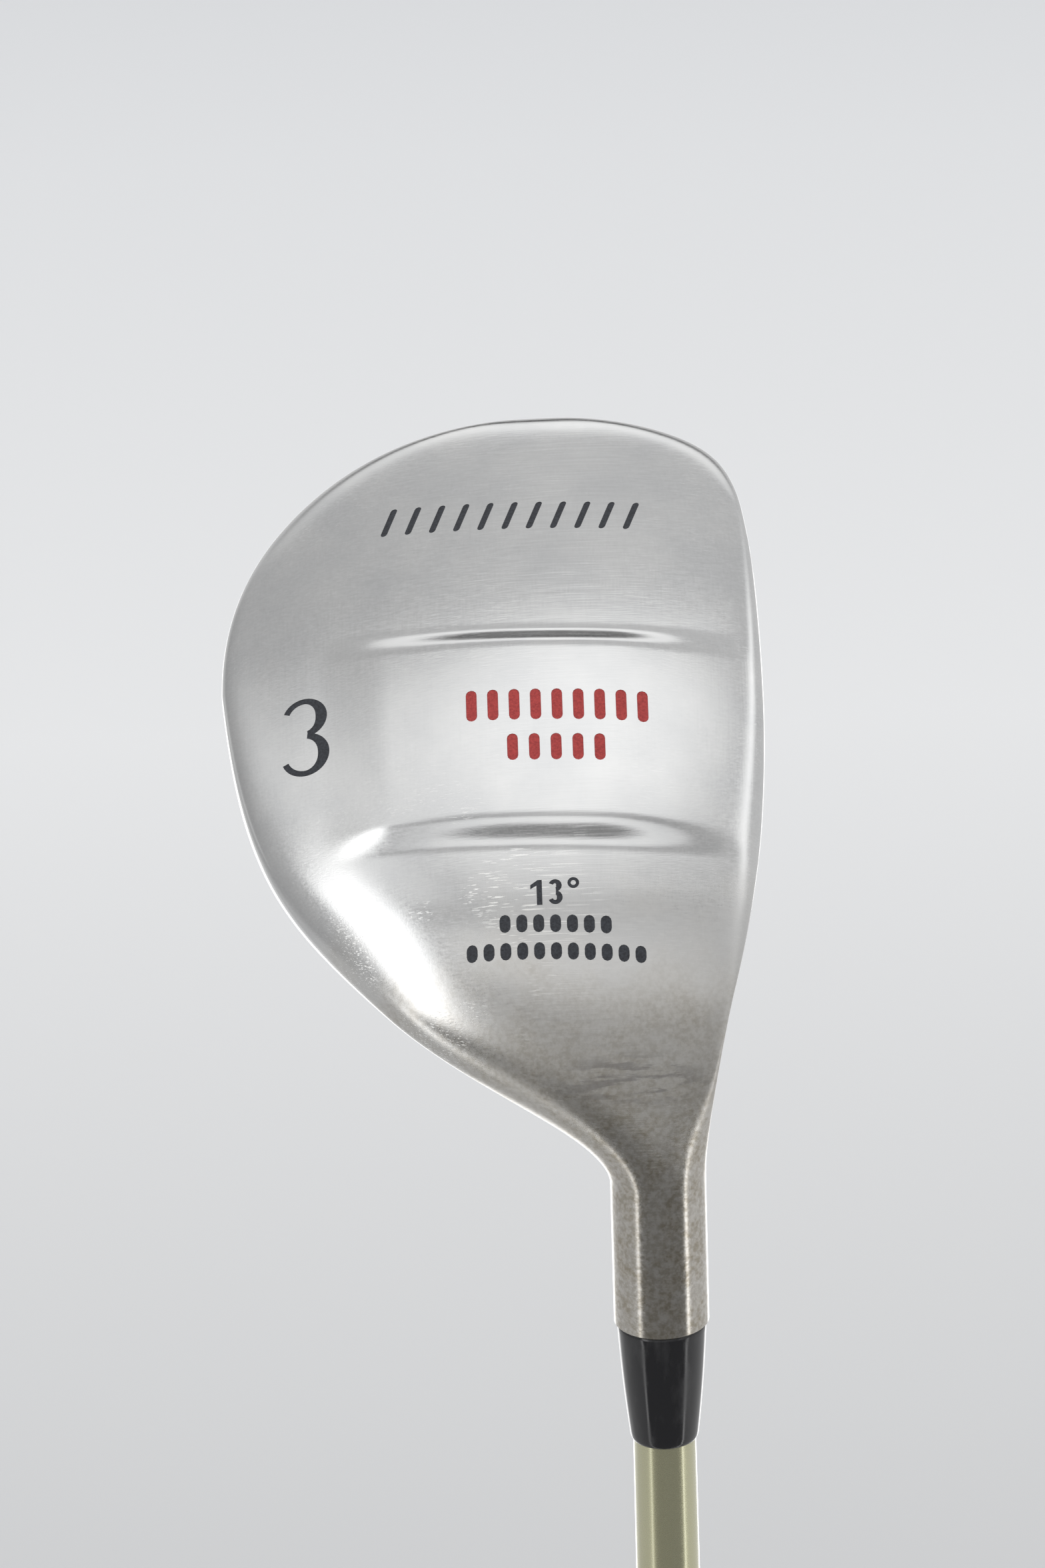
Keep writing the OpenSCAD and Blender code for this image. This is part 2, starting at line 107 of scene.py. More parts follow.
# Raised pad between two rails, and how it runs out behind and in front
PAD_RISE, RAIL_TOE_T, RAIL_HEEL_T, RAIL_WIDTH = 1.8, 47.4, 15.9, 4.5
RAIL_SKEW, RAIL_MID_X = 0.05, -13.0
PAD_REAR_X, PAD_STEP, PAD_STEP_RUN, PAD_SLOPE_RUN, PAD_FRONT_RUN = -45.0, 0.4, 10.0, 27.0, 23.0

# Engraving, the paint's distance below the surface, and heights below and above all of the sole
MARK_DEPTH, PAINT_GAP = 0.35, 0.06
CUT_LOW, CUT_HIGH = -6, 14


def smooth01(q):
    c = np.clip(q, 0, 1)
    return c * c * (3 - 2 * c)


def lerp(a, b, q):
    return a + (b - a) * q


def spow(c, p):
    """Power that keeps the sign."""
    return np.sign(c) * np.abs(c) ** p


# ------------------------------------------------------------------ the head's surface


def toe_share(t):
    """0 where the toe's round begins, 1 at its tip."""
    return np.clip((t - MID_T) / (TOE_T - MID_T), 0, 1)


def toe_close(t, power):
    return np.maximum(0, 1 - toe_share(t) ** power) ** (1 / power)


def front_x(t):
    """Leading edge: a gently bulged face line that meets the round of the toe at a soft corner."""
    radius = np.where(t < BULGE_T, BULGE_HEEL_R, BULGE_TOE_R)
    face = FACE_X - TIP_X - (t - BULGE_T) ** 2 / (2 * radius)
    toe = FRONT_WIDTH * np.maximum(toe_close(t, FRONT_POWER), 1e-6)
    return TIP_X + (face**-CORNER + toe**-CORNER) ** (-1 / CORNER)


def heel_run(d):
    """Straight run of the back into the heel, with a rounded start."""
    a = d - HEEL_START
    return HEEL_SLOPE / 2 * (a + np.sqrt(a * a + HEEL_ROUND**2))


def rear_x(t):
    """Outline of the back."""
    back = TIP_X + (REAR_X - TIP_X) * toe_close(t, REAR_POWER)
    return back + heel_run(np.maximum(0, MID_T - t)) - heel_run(0.0)


def sole_h(t, x):
    """Height of the sole without its pad."""
    camber = (t - LOW_T) ** 2 / (2 * CAMBER_T) + (x - LOW_X) ** 2 / (2 * CAMBER_X)
    return camber + HEEL_RISE * np.maximum(0, HEEL_T - t) ** 2


def crown_top(t, x):
    """Height of the crown."""
    e = np.maximum(0, (x - RIDGE_X) / (rear_x(t) - RIDGE_X))
    return CROWN_H - CROWN_ARC * (t - RIDGE_T) ** 2 - CROWN_FALL * e * e


def wide_h(t, xi, xm):
    """Height of the head's widest line."""
    body = lerp(WIDE_REAR, WIDE_FRONT, smooth01((xi + 1) / 2)) + WIDE_FOLLOW * sole_h(t, xm)
    return lerp(body, WIDE_TIP, smooth01((toe_share(t) - WIDE_TURN) / (1 - WIDE_TURN)))


def pad(t, x):
    """Rise of the pad between the rails, which runs out behind and into the leading edge."""
    s = t + RAIL_SKEW * (x - RAIL_MID_X)
    toe_side = smooth01((RAIL_TOE_T + RAIL_WIDTH / 2 - s) / RAIL_WIDTH)
    heel_side = smooth01((s - RAIL_HEEL_T + RAIL_WIDTH / 2) / RAIL_WIDTH)
    step = PAD_STEP * smooth01((x - PAD_REAR_X) / PAD_STEP_RUN)
    slope = (1 - PAD_STEP) * smooth01((x - PAD_REAR_X) / PAD_SLOPE_RUN)
    front_side = smooth01((front_x(t) - x) / PAD_FRONT_RUN)
    return PAD_RISE * toe_side * heel_side * (step + slope) * front_side


def corner_power(t, top, fore):
    """Superellipse power of the section's quarter, above or below, in front or behind."""
    trail = lerp(TRAIL_HEEL, TRAIL_TOE, smooth01((t - TRAIL_T) / TRAIL_RUN))
    above = np.where(fore, FACE_POWER, CROWN_POWER)
    below = np.where(fore, LEAD_POWER, trail)
    return lerp(NECK_POWER, np.where(top, above, below), smooth01((t - PIVOT_T) / NECK_BLEND))


def section_point(t, xi, top, walls=NO_WALLS, padded=True):
    """Point (x, t, h) of the section at station t, with xi from -1 behind to 1 in front."""
    t = t + 0 * xi  # one station for each xi
    xf, xr = front_x(t) - walls[0], rear_x(t) + walls[1]
    xm, half = (xf + xr) / 2, np.maximum(0, (xf - xr) / 2)
    x = xm + half * xi
    p = corner_power(t, top, xi > 0)
    close = np.where(top, toe_close(t, CROWN_CLOSE), toe_close(t, SOLE_CLOSE))
    swell = np.maximum(0, 1 - np.abs(xi) ** p) ** (1 / p) * close
    wide = wide_h(t, xi, xm)
    side = np.where(top, crown_top(t, x) - walls[2], sole_h(t, x) + walls[3])
    h = wide + (side - wide) * swell
    lean = math.tan(LOFT) * np.maximum(h - WIDE_FRONT, 0) * smooth01((xi + LEAN_BACK) / (1 + LEAN_BACK))
    x = x - lean
    if padded:
        h = h - np.where(top, 0, pad(t, x))
    return np.stack([x, t, h], -1)


def body_ring(t, a, walls=NO_WALLS, padded=True):
    """Ring of the head at station t, by the angles a round the section, 0 at the face."""
    c, top = np.cos(a), np.sin(a) > 0
    return section_point(t, spow(c, 2 / corner_power(t, top, c > 0)), top, walls, padded)


def neck_ring(q, a, walls=NO_WALLS, radius=HOSEL_R):
    """Ring of the neck between the body's last section (q = 0) and the round hosel (q = 1)."""
    step = 0.01
    start = body_ring(PIVOT_T, a, walls, padded=False)
    slope = (body_ring(PIVOT_T + step, a, walls, padded=False) - start) / step
    axis_out = PIVOT_T * math.sin(LIE) + PIVOT_H * math.cos(LIE)
    w0 = PIVOT_H - start[..., 2]
    arc = w0 * LIE
    start_part, slope_part, end_part = 2 * q**3 - 3 * q * q + 1, q**3 - 2 * q * q + q, 3 * q * q - 2 * q**3
    x = start_part * start[..., 0] - slope_part * slope[..., 0] * arc + end_part * radius * np.cos(a)
    w = start_part * w0 + slope_part * slope[..., 2] * arc + end_part * (axis_out - radius * np.sin(a))
    return np.stack([x, PIVOT_T - w * math.sin(LIE * q), PIVOT_H - w * math.cos(LIE * q)], -1)


def to_club(p):
    """From the head's millimetres (x, t, h) to the club's frame in metres."""
    x, t, h = p[..., 0], p[..., 1], p[..., 2]
    y = t * math.sin(LIE) + h * math.cos(LIE)
    z = t * math.cos(LIE) - h * math.sin(LIE)
    return np.stack([x * MM, y * MM, z * MM + GROUND_Z], -1)


def section_angles(n):
    """Angles round a section, closer together in the middle of the sole and the crown."""
    q, packing = np.arange(n) / n, 1.6
    fore, aft = 1 - (1 - q) ** packing, q**packing
    return np.pi / 2 * np.concatenate([fore, 1 + aft, 2 + fore, 3 + aft])


# ------------------------------------------------------------------ mesh building


def new_object(name, verts, faces):
    mesh = bpy.data.meshes.new(name)
    mesh.from_pydata([tuple(v) for v in verts], [], [tuple(int(i) for i in f) for f in faces])
    work = bmesh.new()
    work.from_mesh(mesh)
    bmesh.ops.recalc_face_normals(work, faces=work.faces)
    work.to_mesh(mesh)
    work.free()
    obj = bpy.data.objects.new(name, mesh)
    bpy.context.scene.collection.objects.link(obj)
    return obj


def ring_faces(rings, n):
    """Quads between neighbouring rings of n points."""
    i, j = np.meshgrid(np.arange(rings - 1), np.arange(n), indexing="ij")
    a, b = i * n + j, i * n + (j + 1) % n
    return np.stack([a, b, b + n, a + n], -1).reshape(-1, 4).tolist()


def ring_solid(name, rings):
    """Closed solid from rings (in metres) with the same number of points."""
    rings = np.array(rings)
    count, n = rings.shape[:2]
    caps = [list(range(n))[::-1], list(range((count - 1) * n, count * n))]
    return new_object(name, rings.reshape(-1, 3), ring_faces(count, n) + caps)


def grid_solid(name, outer, inner):
    """Closed slab between two grids of points with the same rows and columns."""
    rows, n = outer.shape[0] - 1, outer.shape[1]
    count = outer.shape[0] * n
    i, j = np.meshgrid(np.arange(rows), np.arange(n - 1), indexing="ij")
    a = (i * n + j).ravel()
    sheet = np.stack([a, a + 1, a + n + 1, a + n], -1)
    edge = list(range(n - 1)) + [i * n + n - 1 for i in range(rows)]
    edge += [rows * n + j for j in range(n - 1, 0, -1)] + [i * n for i in range(rows, 0, -1)]
    walls = [[e, f, f + count, e + count] for e, f in zip(edge, edge[1:] + edge[:1])]
    faces = sheet.tolist() + (sheet[:, ::-1] + count).tolist() + walls
    return new_object(name, np.concatenate([outer, inner]).reshape(-1, 3), faces)


def tube(name, rings):
    """Ring-shaped solid from a run of rings, in millimetres, whose last ring joins the first."""
    count, steps = rings.shape[:2]
    last = (count - 1) * steps
    close = [[last + j, last + (j + 1) % steps, (j + 1) % steps, j] for j in range(steps)]
    return new_object(name, (rings * MM).reshape(-1, 3), ring_faces(count, steps) + close)


def lathe(name, profile, steps):
    """Ring-shaped solid from a closed profile of (radius, height) in millimetres."""
    profile = np.array(profile)
    a = np.arange(steps) * 2 * np.pi / steps
    return tube(name, np.stack([np.outer(profile[:, 0], np.cos(a)), np.outer(profile[:, 0], np.sin(a)),
                                np.repeat(profile[:, 1:], steps, axis=1)], -1))


def rod(name, radius, start, end, steps=64):
    """Plain round cutter along the shaft axis, in millimetres."""
    a = np.arange(steps) * 2 * np.pi / steps
    circle = np.stack([radius * np.cos(a), radius * np.sin(a), 0 * a], -1)
    return ring_solid(name, [(circle + [0, 0, z]) * MM for z in (start, end)])


def combine(target, tool, operation):
    """Boolean of two closed meshes; the tool is used up."""
    step = target.modifiers.new("step", "BOOLEAN")
    step.operation, step.object, step.solver = operation, tool, "MANIFOLD"
    graph = bpy.context.evaluated_depsgraph_get()
    mesh = bpy.data.meshes.new_from_object(target.evaluated_get(graph))
    target.modifiers.clear()
    target.data = mesh
    bpy.data.objects.remove(tool)
    return target


def finish_piece(piece, material, slot, *nodes, angle=35):
    """Smooth shading with sharp edges by angle, the material, the root body, and hiding the CAD nodes it
    replaces.
    """
    piece.data.polygons.foreach_set("use_smooth", [True] * len(piece.data.polygons))
    piece.data.set_sharp_from_angle(angle=math.radians(angle))
    piece.data.materials.clear()
    piece.data.materials.append(material)
    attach(piece, "root")
    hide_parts(*nodes)


# ------------------------------------------------------------------ head and sole plate


def plate_grid(rows, cols, depth, padded, reach=PLATE_REACH):
    """Points of the sole over the plate, depth below the surface, with rows closer at the ends."""
    r = np.sin(math.radians(88.5) * np.linspace(-1, 1, rows + 1))[:, None]
    c = np.linspace(-1, 1, cols + 1)[None, :]
    t = PLATE_MID_T + PLATE_HALF * reach / PLATE_REACH * r + 0 * c
    wide = reach * (1 - r**PLATE_POWER) ** (1 / PLATE_POWER)
    return section_point(t, wide * c, False, padded=padded) + [0, 0, depth]


def sole_layer(name, rows, cols, outer, inner, reach=PLATE_REACH, flat=(False, False)):
    """Slab under the sole between two depths; a flat side leaves the pad out."""
    near = plate_grid(rows, cols, outer, not flat[0], reach)
    far = plate_grid(rows, cols, inner, not flat[1], reach)
    return grid_solid(name, to_club(near), to_club(far))


def head_rings(walls, toe_ends, toe_count, body_count, neck_count, neck_end, radius, a, padded):
    """Rings from the toe to the neck, closer together at the tip of the toe."""
    packing = 2.4
    toe = MID_T + (TOE_T - MID_T) * (1 - (1 - np.linspace(*toe_ends, toe_count)) ** packing)
    body = np.linspace(MID_T, PIVOT_T, body_count)[1:]
    rings = [body_ring(t, a, walls, padded) for t in [*toe, *body]]
    return rings + [neck_ring(q, a, walls, radius) for q in np.linspace(0, neck_end, neck_count)[1:]]


def make_cavity():
    """Hollow of the head, from the toe into the neck."""
    a = section_angles(16)
    rings = np.array(head_rings(WALLS, (0.93, 0), 14, 8, 4, CAVITY_NECK, HOSEL_R - NECK_WALL, a, False))
    rings[..., 1] -= TOE_WALL * toe_share(rings[..., 1])
    return ring_solid("cavity", to_club(rings))


def make_score_lines(a):
    """Shallow level grooves across the face: long bars less everything below their floor."""
    inner_x, outer_x, half = 2, 40, SCORE_WIDTH / 2
    box = ring_faces(2, 4) + [[3, 2, 1, 0], [4, 5, 6, 7]]
    verts, faces = [], []
    for h, reach in SCORE_LINES:
        faces += [[len(verts) + i for i in face] for face in box]
        section = [(inner_x, h - half), (outer_x, h - half), (outer_x, h + half), (inner_x, h + half)]
        verts += [(x, t, v) for t in (SCORE_MID_T - reach, SCORE_MID_T + reach) for x, v in section]
    bars = new_object("score_lines", to_club(np.array(verts, float)), faces)
    floor = [body_ring(t, a, (SCORE_DEPTH, 0, 0, 0)) for t in np.linspace(68, 8, 50)]
    return combine(bars, ring_solid("below_score_lines", to_club(np.array(floor))), "DIFFERENCE")


def make_cast_body():
    """Crown, skirt, face and hosel in one hollow casting, open under the sole plate."""
    a = section_angles(44)
    rings = head_rings(NO_WALLS, (0.995, 0), 100, 100, 46, 1, HOSEL_R, a, True)
    hosel_dir = np.array([0, -math.cos(LIE), math.sin(LIE)])
    start = PIVOT_H * math.sin(LIE) - PIVOT_T * math.cos(LIE)
    chamfer, neck_end = 0.3, rings[-1]
    rings += [neck_end + hosel_dir * d for d in np.linspace(0, HOSEL_REACH - start - chamfer, 8)[1:]]
    centre = rings[-1].mean(axis=0)
    rings.append(centre + (rings[-1] - centre) * (1 - chamfer / HOSEL_R) + hosel_dir * chamfer)
    body = ring_solid("cast_body", to_club(np.array(rings)))
    combine(body, make_cavity(), "DIFFERENCE")
    combine(body, make_score_lines(a), "DIFFERENCE")
    combine(body, sole_layer("pocket", 120, 60, CUT_LOW, PLATE_THICK, flat=(True, True)), "DIFFERENCE")
    opening = sole_layer("opening", 40, 20, 1, WALLS[3] + LEDGE, PLATE_REACH * OPENING_SHARE, (True, True))
    combine(body, opening, "DIFFERENCE")
    hosel = HOSEL_Z / MM
    return combine(body, rod("bore", BORE_R, hosel - 1, hosel + BORE_DEPTH), "DIFFERENCE")


# ------------------------------------------------------------------ engraved marks


def prism(name, outlines):
    """Upright solid through the sole for each closed outline of (x, t) points."""
    verts, faces = [], []
    for outline in outlines:
        n, base = len(outline), len(verts)
        for h in (CUT_LOW, CUT_HIGH):
            verts += to_club(np.array([[x, t, h] for x, t in outline])).tolist()
        faces += [[base + i, base + (i + 1) % n, base + n + (i + 1) % n, base + n + i] for i in range(n)]
        faces += [list(range(base, base + n))[::-1], list(range(base + n, base + 2 * n))]
    return new_object(name, verts, faces)


def capsule(x, t, h, w, slant):
    """Bar with round ends, its middle at (x, t)."""
    a = np.linspace(0, np.pi, 7)
    end = np.stack([w / 2 * np.cos(a), h / 2 - w / 2 + w / 2 * np.sin(a)], -1)
    loop = np.concatenate([end, -end])
    return [(x + u + slant * v, t + v) for u, v in loop]


def bar_row(x, t, count, pitch, h, w, slant=0.0):
    """Row of bars along the rails, its middle at (x, t)."""
    steps = (np.arange(count) - (count - 1) / 2) * pitch
    return [capsule(x + d, t - RAIL_SKEW * d, h, w, slant) for d in steps]


def bowl(x, t, r, thick, thin, start, end):
    """Bowl of a numeral: an open ring whose stroke is thickest on the right."""
    a = np.radians(np.linspace(start, end, 41))
    width = thin + (thick - thin) * np.maximum(0, np.cos(a)) ** 1.5
    outer = np.stack([x + r * np.cos(a), t + r * np.sin(a)], -1)
    inner = np.stack([x + (r - width) * np.cos(a), t + (r - width) * np.sin(a)], -1)
    return np.concatenate([outer, inner[::-1]]).tolist()


def three_prism(name, x, t, h, thick, thin):
    """Numeral three: two bowls that meet in the middle, the lower one a little larger."""
    low, high = 0.272 * h, 0.252 * h
    upper = bowl(x, t + h / 2 - high, high, thick, thin, -82, 158)
    lower = bowl(x, t - h / 2 + low, low, thick, thin, -160, 84)
    return combine(prism(name, [upper]), prism("lower_bowl", [lower]), "UNION")


def number_prism():
    """The club's number."""
    return three_prism("number", -46.8, 35.4, 12.4, 1.6, 0.85)


def loft_prism():
    """The loft, thirteen degrees."""
    one = [(-15.45, 5.5), (-14.7, 5.5), (-14.7, 9.1), (-15.3, 9.1), (-16.3, 8.4), (-16.3, 7.8), (-15.45, 8.3)]
    digits = combine(three_prism("loft", -12.9, 7.3, 3.6, 0.8, 0.6), prism("one", [one]), "UNION")
    angles = np.linspace(0, 2 * np.pi, 33)[:-1]
    sign, hole = [prism(name, [[(-10.4 + r * math.cos(a), 8.5 + r * math.sin(a)) for a in angles]])
                  for name, r in (("degree", 0.8), ("hole", 0.35))]
    return combine(digits, combine(sign, hole, "DIFFERENCE"), "UNION")


def accent_prism():
    """Two rows of red bars on the pad."""
    return prism("accent", bar_row(-11.8, 35.1, 9, 2.95, 5, 1.5) + bar_row(-12.1, 28.3, 5, 3, 4.2, 1.5))


def ornament_prism():
    """Dark bars: a slanted row near the toe and two rows under the loft."""
    rows = bar_row(-17.5, 69.8, 11, 3.4, 5, 0.9, 0.35)
    rows += bar_row(-13, 2.9, 7, 2.3, 2.4, 1.5) + bar_row(-13, -0.7, 11, 2.3, 2.2, 1.5)
    return prism("ornament", rows)


# Painted marks: piece, its outlines, slot and the CAD node it stands for
MARKS = {
    "club_number_paint": (number_prism, "dark_paint", "number_paint"),
    "loft_paint_fill": (loft_prism, "dark_paint", "loft_paint"),
    "red_bar_paint": (accent_prism, "red_paint", "accent_paint"),
    "dark_bar_paint": (ornament_prism, "dark_paint", "ornament_paint"),
}


def make_sole_plate():
    """Plate with the pad between its rails and the marks engraved in it."""
    plate = sole_layer("polished_sole_plate", 240, 110, 0, PLATE_THICK, flat=(False, True))
    for outline, _, _ in MARKS.values():
        layer = sole_layer("layer", 120, 60, -2, MARK_DEPTH, PLATE_REACH * MARKS_SHARE)
        combine(plate, combine(layer, outline(), "INTERSECT"), "DIFFERENCE")
    return plate


# ------------------------------------------------------------------ shaft, ferrule and grip


def make_ferrule():
    """Tapered trim ring with soft edges, a little smaller than the hosel it meets."""
    z0, length = FERRULE_Z / MM, (HOSEL_Z - FERRULE_Z) / MM
    bore, low, high, belly = 4.26, 4.7, 6.2, 0.16
    q = np.linspace(0.035, 0.975, 24)
    side = [(lerp(low, high, s) + belly * math.sin(math.pi * s), z0 + length * s) for s in q]
    foot = [(bore, z0), (low - 0.32, z0), (low - 0.12, z0 + 0.12), (low - 0.02, z0 + 0.32)]
    top = [(high - 0.06, z0 + length - 0.12), (high - 0.22, z0 + length), (bore, z0 + length)]
    return lathe("turned_ferrule", foot + side + top, 128)


def make_shaft():
    """Hollow tapered tube, painted up to the ferrule and bare where it is glued."""
    butt_r, painted_r, glued_r, butt_bore, tip_bore, tip_bore_depth = 7.62, 4.375, 4.25, 6.6, 1.85, 60
    butt, butt_end, ferrule, tip = BUTT_Z / MM, 150, FERRULE_Z / MM, TIP_Z / MM
    q = np.linspace(0, 1, 30)
    taper = list(zip(lerp(butt_r, painted_r, q), lerp(butt_end, ferrule, q)))
    outside = [(butt_bore, butt), (butt_r, butt), *taper, (glued_r, ferrule), (glued_r, tip)]
    return lathe("painted_shaft", outside + [(tip_bore, tip), (tip_bore, tip - tip_bore_depth)], 128)


def make_grip():
    """Rubber sleeve with a pressed diamond pattern between plain bands, and rings at its mouth."""
    bottom, top = CAP_TOP / MM, GRIP_TOP / MM
    steps = 144
    z = np.linspace(bottom, top, 560)
    stations = [bottom, bottom + 6, bottom + 22, top * 0.37, top * 0.75, top - 1, top]
    radii = [12.9, 12.5, 12.0, 11.13, 9.52, 8.6, 8.25]
    r = np.interp(z, stations, radii)[:, None]
    a = (np.arange(steps) * 2 * np.pi / steps)[None, :]
    turns, pitch, groove_share, groove_depth = 16, 9.0, 0.32, 0.4
    left = np.abs(np.sin(turns / 2 * a + np.pi * z[:, None] / pitch))
    right = np.abs(np.sin(turns / 2 * a - np.pi * z[:, None] / pitch))
    groove = smooth01(1 - np.minimum(left, right) / groove_share)
    low_plain, high_plain, fade = 16, 22, 4
    band = smooth01((z - bottom - low_plain) / fade) * smooth01((top - high_plain - z) / fade)
    for middle in (bottom + 92, bottom + 170):
        band *= 1 - smooth01((6 - np.abs(z - middle)) / 1.5)
    rings_run, ring_pitch, ring_half, ring_depth = 16, 4, 0.9, 0.35
    wave = np.abs((z - top + rings_run) % ring_pitch - ring_pitch / 2)
    mouth = smooth01(1 - wave / ring_half) * (z > top - rings_run) * (z < top - 3)
    r = r - groove_depth * groove * band[:, None] - ring_depth * mouth[:, None]
    outer = np.stack([r * np.cos(a), r * np.sin(a), z[:, None] + 0 * a], -1)
    inner_r, inner_z = [7.87, 7.87, 7.47], [bottom, 150, top]
    inner = [np.stack([ir * np.cos(a[0]), ir * np.sin(a[0]), iz + 0 * a[0]], -1)
             for ir, iz in zip(inner_r, inner_z)]
    return tube("rubber_grip", np.concatenate([np.array(inner), outer[::-1]]))


def make_grip_cap():
    """Rounded end cap with a vent hole and two shallow rings."""
    top, r, vent, edge = CAP_TOP / MM, 13.2, 2.0, 1.6
    bend = np.radians(np.linspace(0, 90, 9))
    corner = [(r - edge + edge * math.sin(b), edge - edge * math.cos(b)) for b in bend]
    rings, deep = [], 0.35
    for middle in (5.0, 8.5):
        rings += [(middle - 0.5, 0), (middle - 0.25, deep), (middle + 0.25, deep), (middle + 0.5, 0)]
    return lathe("grip_end_cap", [(vent, top), (vent, 0.3), (vent + 0.3, 0), *rings, *corner, (r, top)], 96)


# ------------------------------------------------------------------ materials


class Nodes:
    """Short way to build a shader tree: each call adds a node and returns its first output."""

    def __init__(self, tree):
        self.tree = tree

    def add(self, kind, inputs=(), out=0, **settings):
        node = self.tree.nodes.new(kind)
        for key, value in settings.items():
            setattr(node, key, value)
        items = inputs.items() if isinstance(inputs, dict) else enumerate(inputs)
        for key, value in items:
            if isinstance(value, bpy.types.NodeSocket):
                self.tree.links.new(value, node.inputs[key])
            else:
                node.inputs[key].default_value = value
        return node.outputs[out]

    def math(self, op, *values, clamp=False):
        return self.add("ShaderNodeMath", values, operation=op, use_clamp=clamp)

    def vector(self, op, *values, out=0):
        return self.add("ShaderNodeVectorMath", values, operation=op, out=out)

    def scaled(self, coords, *scale, turn=0.0):
        return self.add("ShaderNodeMapping", {0: coords, 2: (0, 0, turn), 3: scale})

    def split(self, coords):
        return self.add("ShaderNodeSeparateXYZ", [coords], out=slice(0, 3))

    def noise(self, coords, scale=1.0, detail=2.0, rough=0.5):
        return self.add("ShaderNodeTexNoise", {"Vector": coords, "Scale": scale, "Detail": detail,
                                               "Roughness": rough})

    def remap(self, value, low, high, out_low=0.0, out_high=1.0, kind="LINEAR"):
        inputs = [value, low, high, out_low, out_high]
        return self.add("ShaderNodeMapRange", inputs, interpolation_type=kind)

    def mix(self, share, a, b):
        first = (*a, 1) if isinstance(a, tuple) else a
        second = (*b, 1) if isinstance(b, tuple) else b
        return self.add("ShaderNodeMix", {0: share, 6: first, 7: second}, out=2, data_type="RGBA")

    def bump(self, height, distance, strength):
        return self.add("ShaderNodeBump", {"Height": height, "Distance": distance, "Strength": strength})

    def ramp(self, value, stops):
        node = self.tree.nodes.new("ShaderNodeValToRGB")
        self.tree.links.new(value, node.inputs[0])
        ramp = node.color_ramp
        while len(ramp.elements) < len(stops):
            ramp.elements.new(0.5)
        for element, (place, color) in zip(ramp.elements, stops):
            element.position = place
            shade = (color,) * 3 if isinstance(color, (int, float)) else color
            element.color = (*shade, 1)
        return node.outputs[0]


def new_material(name, **settings):
    """Material with plain values on the shader's own sockets, and its node helper."""
    material = bpy.data.materials.new(name)
    material.use_nodes = True
    shader = material.node_tree.nodes["Principled BSDF"]
    for key, value in settings.items():
        socket = shader.inputs[key.replace("_", " ")]
        socket.default_value = (*value, 1) if isinstance(value, tuple) else value
    return material, Nodes(material.node_tree), shader


def link(nodes, shader, **sockets):
    """Links outputs to the shader's sockets by name."""
    for key, value in sockets.items():
        nodes.tree.links.new(value, shader.inputs[key.replace("_", " ")])


def club_coords(n):
    """The club's own coordinates in millimetres."""
    place = n.add("ShaderNodeTexCoord", out="Object")
    return n.vector("MULTIPLY", place, (1 / MM,) * 3)


def head_coords(n):
    """(x, t, -h) of the head in millimetres."""
    place = n.vector("SUBTRACT", club_coords(n), (0, 0, GROUND_Z / MM))
    return n.add("ShaderNodeMapping", {0: place, 2: (LIE - math.pi / 2, 0, 0)})


# Sets of scratches: direction in degrees, length and closeness in mm, and how rare they are
SCRATCHES = [(14, 16.0, 4.4, 0.68), (-62, 9.0, 4.0, 0.675), (83, 11.0, 4.4, 0.685)]
SCRATCHED_SPOT, SMEAR_SPOT = (-25, 5, 0), (-3, -15.5, 0)


